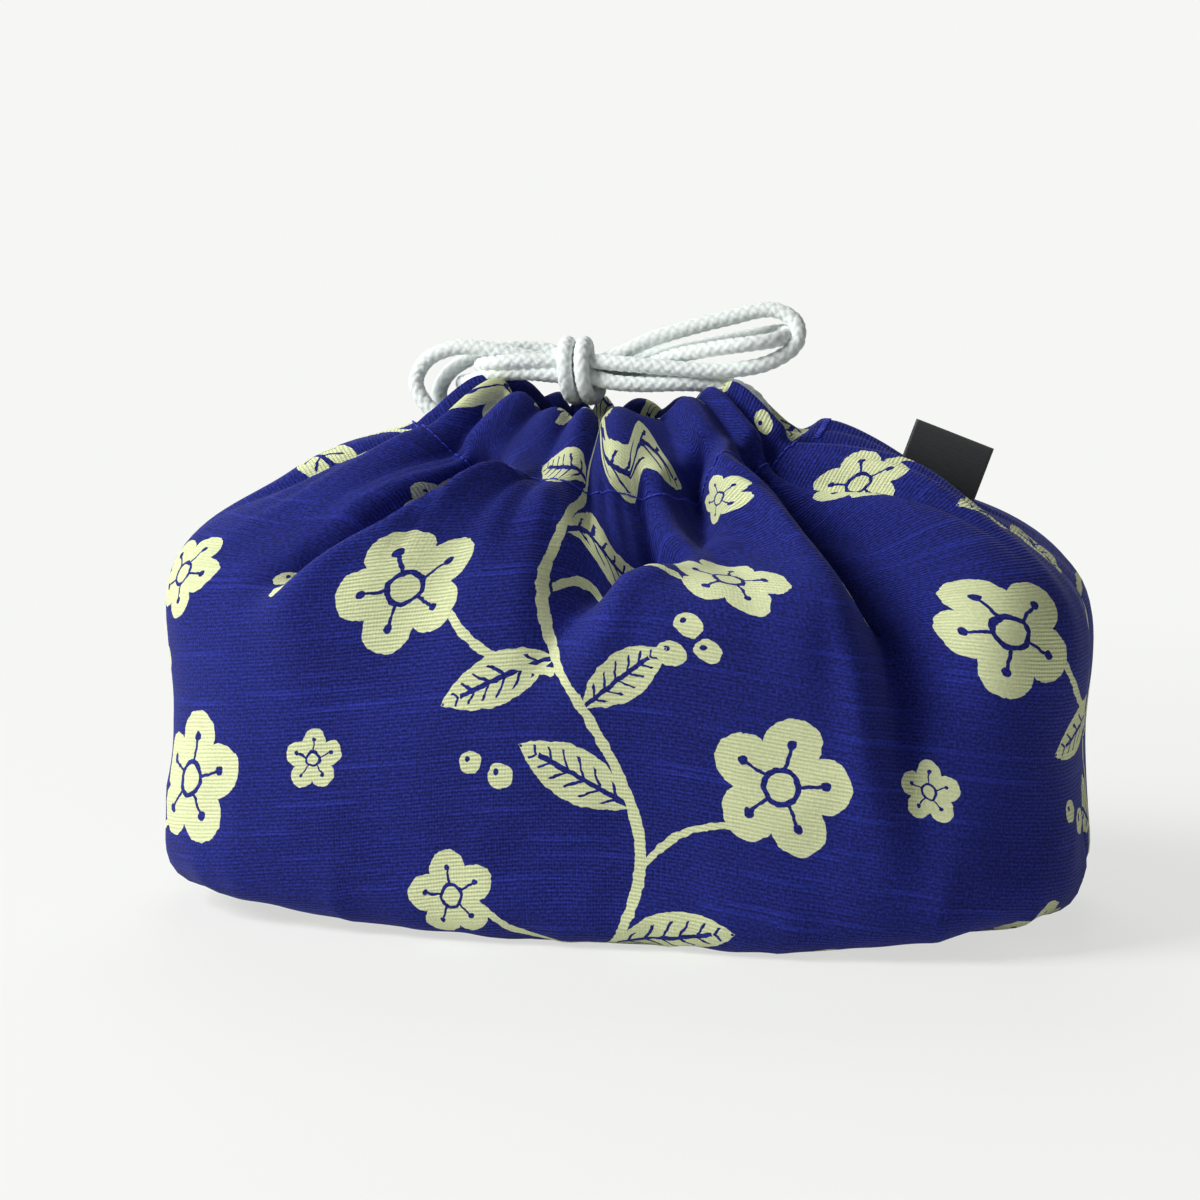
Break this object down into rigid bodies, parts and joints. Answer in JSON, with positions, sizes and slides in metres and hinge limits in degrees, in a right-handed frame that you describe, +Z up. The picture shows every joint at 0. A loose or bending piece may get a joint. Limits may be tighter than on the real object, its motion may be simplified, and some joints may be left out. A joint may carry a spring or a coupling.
{
  "type": "drawstring lunch bag",
  "caption": "Printed cotton drawstring bag, drawn shut and standing full, with a gathered casing round the mouth, braided cords tied in a hank above it and a ribbon tab in the side seam.",
  "frame": {"origin": "middle of the cloth's bounding box, on the surface that the bag stands on", "axes": "+X along the length, towards the end with the ribbon tab; +Y from front to back; +Z up"},
  "size_m": [0.2432, 0.1232, 0.1589],
  "materials": {
    "printed_cotton": "matt slub weave, royal blue with pale lime print",
    "cotton_cord": "matt white braid",
    "woven_ribbon": "fine black satin weave"
  },
  "bodies": {
    "root": {"bag_cloth": "printed_cotton", "drawcord_left": "cotton_cord", "drawcord_right": "cotton_cord", "drawcord_hank": "cotton_cord", "drawcord_wrap": "cotton_cord", "label_tab": "woven_ribbon"}
  },
  "joints": []
}
